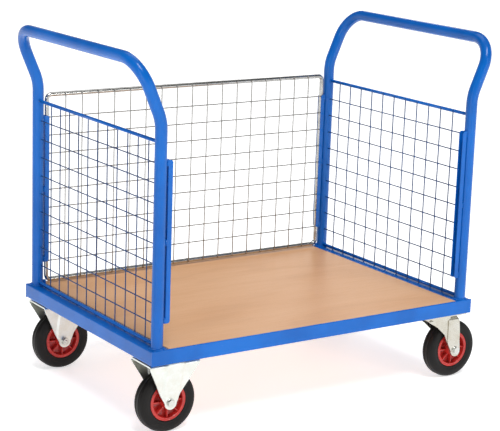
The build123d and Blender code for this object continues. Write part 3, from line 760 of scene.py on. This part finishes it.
def makeWheelCentre(node, name):
    size = wheel
    centre = middleOf(node)
    rimSide = [  # (radius, offset): stepped outer lip, hollow face, web, and the hub's nose
        (0.0474, 0.0), (0.0474, 0.0158), (0.0488, 0.0160), (size["rim"], 0.0168), (size["rim"], 0.0174),
        (0.0489, size["rimHalf"]), (0.0462, size["rimHalf"]), (0.0456, 0.0176), (0.0450, size["rimHalf"]),
        (0.0424, size["rimHalf"]), (size["rimInner"], 0.0172), (0.0411, 0.0060), (0.0398, 0.0038),
        (0.0380, size["web"]), (0.0205, size["web"]), (0.0186, 0.0038), (0.0178, 0.0056),
        (size["hub"], 0.0235), (0.0160, size["hubHalf"]), (0.0122, size["hubHalf"]), (size["bore"], 0.0242),
        (size["bore"], 0.0)
    ]
    profile = rimSide + [(radius, -offset) for radius, offset in reversed(rimSide[1:-1])]
    bm = bmesh.new()
    spinProfile(bm, profile, centre, Vector((0, 1, 0)), 96)
    length = size["rimInner"] - size["hub"] + 0.002
    for i in range(size["ribs"]):
        turn = Matrix.Rotation(2 * pi * i / size["ribs"], 4, "Y")
        outFromHub = Matrix.Translation((size["hub"] - 0.001 + length / 2, 0, 0))
        place = Matrix.Translation(centre) @ turn @ outFromHub
        block = Matrix.Diagonal((length, size["ribWidth"], size["rib"], 1))
        made = bmesh.ops.create_cube(bm, size=1.0, matrix=place @ block)
        edges = list({edge for vert in made["verts"] for edge in vert.link_edges})
        bmesh.ops.bevel(bm, geom=edges, offset=size["ribEdge"], segments=2, profile=0.5, affect="EDGES",
                        material=-1)
    addPiece(bm, name, wheelRed, node, [node], sharp=40.0)


for kind in ("fixed", "swivel"):
    for end in ("front", "back"):
        makeTyre(f"{kind}_tyre_{end}", f"{kind}Tyre_{end}")
        makeWheelCentre(f"{kind}_wheel_center_{end}", f"{kind}WheelCentre_{end}")
print("wheels done")


# Studio

studio = {"floorHalf": 40.0, "sky": 0.70}


def makeFloor():
    bm = bmesh.new()
    bmesh.ops.create_grid(bm, x_segments=8, y_segments=8, size=studio["floorHalf"])
    mesh = bpy.data.meshes.new("studioFloor")
    bm.to_mesh(mesh)
    bm.free()
    floor = bpy.data.objects.new("studioFloor", mesh)
    mesh.materials.append(makeFloorFinish())
    bpy.context.scene.collection.objects.link(floor)


def addLight(name, kind, place, target, **settings):
    data = bpy.data.lights.new(name, kind)
    for key, value in settings.items():
        setattr(data, key, value)
    light = bpy.data.objects.new(name, data)
    look = (Vector(target) - Vector(place)).normalized()
    light.matrix_world = Matrix.Translation(place) @ look.to_track_quat("-Z", "Y").to_matrix().to_4x4()
    bpy.context.scene.collection.objects.link(light)


def makeLights():
    addLight("softSun", "SUN", (-0.6, -2.4, 4.6), (0, 0, 0), energy=1.85, angle=radians(24.0))
    addLight("topPanel", "AREA", (0.4, 0.9, 3.4), (0, 0, 0.4), energy=14.0, shape="RECTANGLE", size=2.2,
             size_y=1.4)
    addLight("leftStrip", "AREA", (-3.2, -1.9, 1.5), (0, 0, 0.6), energy=16.0, shape="RECTANGLE", size=0.07,
             size_y=2.6)
    addLight("frontStrip", "AREA", (1.4, -3.8, 1.7), (0, 0, 0.5), energy=20.0, shape="RECTANGLE", size=0.08,
             size_y=2.4)
    addLight("backPanel", "AREA", (2.6, 3.2, 2.2), (0, 0, 0.5), energy=10.0, shape="RECTANGLE", size=0.8,
             size_y=2.0)


def makeSky():
    # Bright at the horizon, dark above it and paler overhead, so that round metal shows light and dark
    world = bpy.data.worlds.new("studioSky")
    bpy.context.scene.world = world
    world.use_nodes = True
    tree = world.node_tree
    coordinates = tree.nodes.new("ShaderNodeTexCoord")
    at = Link(tree, coordinates.outputs["Generated"])
    height = at.node("SeparateXYZ", {}, {0: at}, 2)
    shade = height.node("ValToRGB", {"stops": [
        (0.0, (1.00, 1.00, 1.00, 1)), (0.24, (0.80, 0.81, 0.82, 1)), (0.36, (0.10, 0.105, 0.11, 1)),
        (0.75, (0.15, 0.155, 0.16, 1)), (1.0, (0.60, 0.60, 0.61, 1))
    ]}, {0: height})
    background = tree.nodes["Background"]
    background.inputs["Strength"].default_value = studio["sky"]
    tree.links.new(shade.socket, background.inputs["Color"])


camera = {
    "place": (-2.45187, -3.63960, 1.48001), "heading": 56.106, "tilt": -13.3234, "roll": 1.94062,
    "lens": 120.91, "sensor": 36.0, "clipEnd": 200.0
}


def makeCamera():
    heading, tilt, roll = (radians(camera[key]) for key in ("heading", "tilt", "roll"))
    look = Vector((cos(tilt) * cos(heading), cos(tilt) * sin(heading), sin(tilt)))
    right = look.cross(Vector((0, 0, 1))).normalized()
    up = right.cross(look)
    rolledRight = right * cos(roll) + up * sin(roll)
    rolledUp = up * cos(roll) - right * sin(roll)
    data = bpy.data.cameras.new("studioCamera")
    data.lens = camera["lens"]
    data.sensor_width = camera["sensor"]
    data.clip_end = camera["clipEnd"]
    made = bpy.data.objects.new("studioCamera", data)
    turned = Matrix((rolledRight, rolledUp, -look)).transposed().to_4x4()
    made.matrix_world = Matrix.Translation(camera["place"]) @ turned
    bpy.context.scene.collection.objects.link(made)
    bpy.context.scene.camera = made


makeFloor()
makeLights()
makeSky()
makeCamera()
bpy.context.scene.view_settings.view_transform = "Standard"
print("studio and camera done")
